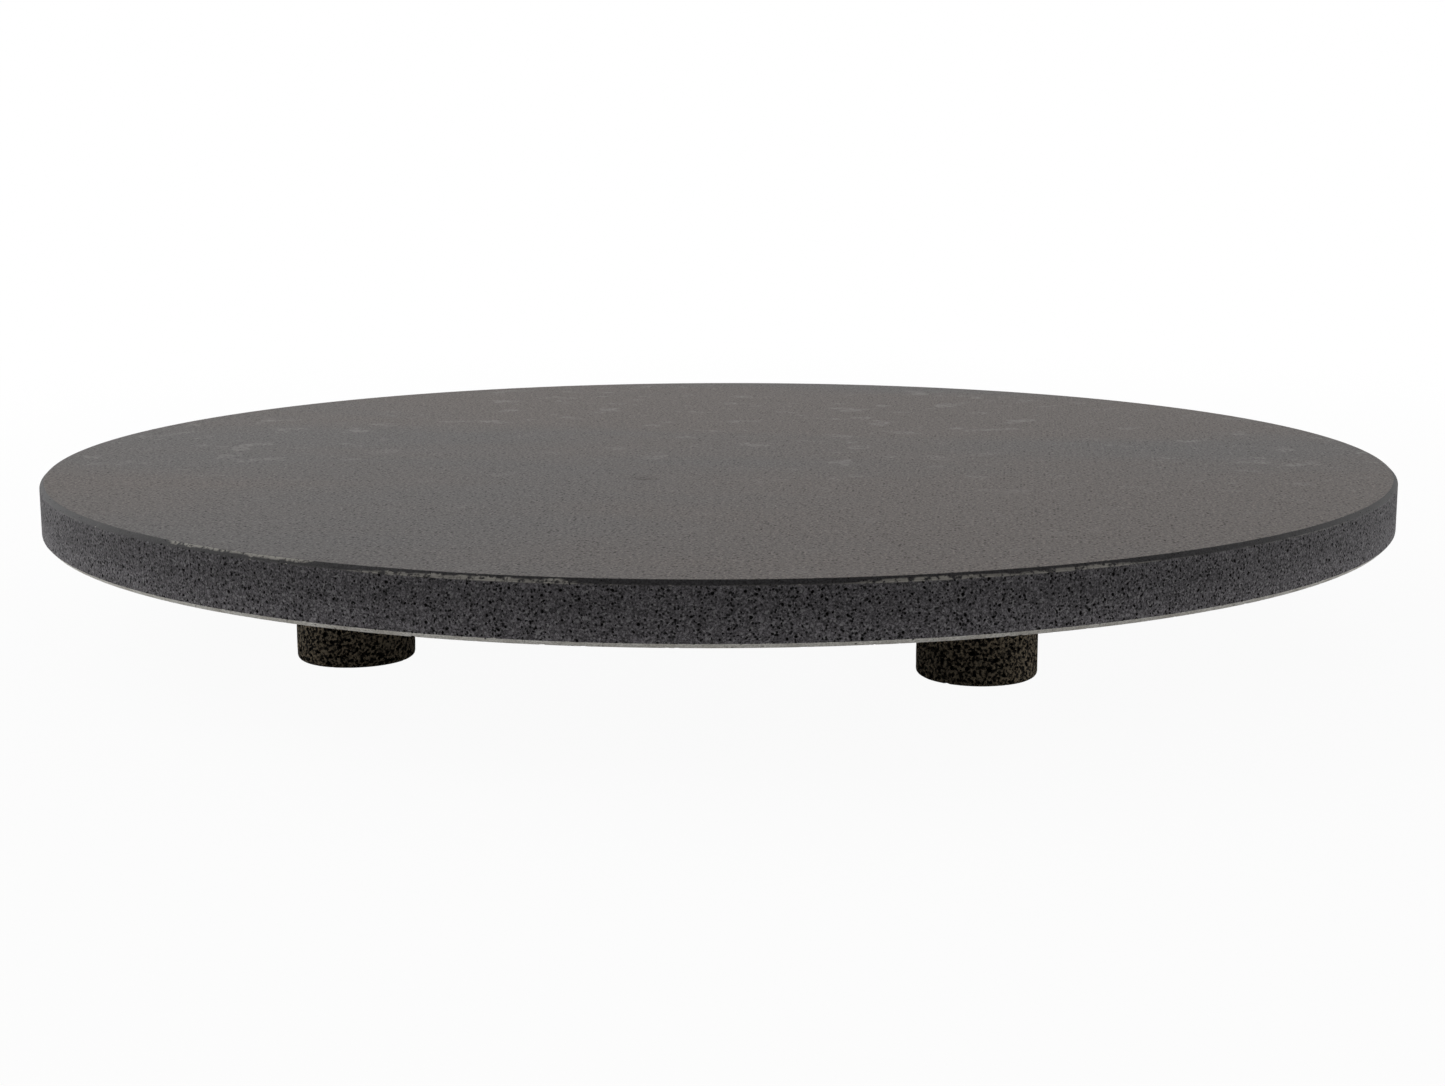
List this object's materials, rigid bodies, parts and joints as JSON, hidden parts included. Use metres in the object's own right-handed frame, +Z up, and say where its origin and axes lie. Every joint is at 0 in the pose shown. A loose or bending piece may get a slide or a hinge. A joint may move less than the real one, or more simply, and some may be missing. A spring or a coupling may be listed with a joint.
{
  "type": "round stone slab on feet",
  "caption": "Low round slab of dark grey basalt, honed on top, porous sawn rim and chamfered edges, standing on short plain cylindrical stone feet.",
  "frame": {"origin": "on the surface that the feet stand on, straight below the centre of the round slab", "axes": "+Z up, square to the slab's honed face; X and Y along the sides of the square that the feet stand on, with the two feet that the picture shows on the -Y side"},
  "size_m": [0.4, 0.4, 0.0462],
  "materials": {
    "basalt_slab": "honed top, fine-sawn porous rim",
    "lava_foot": "rough, open-pored, unpolished",
    "stainless_pin": "turned, ring-grooved",
    "resin": "cured filled epoxy"
  },
  "bodies": {
    "root": {"slab": "basalt_slab", "foot_front_left": "lava_foot", "foot_front_right": "lava_foot", "foot_back_left": "lava_foot", "foot_back_right": "lava_foot", "dowel_pin_front_left": "stainless_pin", "dowel_pin_front_right": "stainless_pin", "dowel_pin_back_left": "stainless_pin", "dowel_pin_back_right": "stainless_pin", "adhesive_bed_front_left": "resin", "adhesive_bed_front_right": "resin", "adhesive_bed_back_left": "resin", "adhesive_bed_back_right": "resin"}
  },
  "joints": []
}
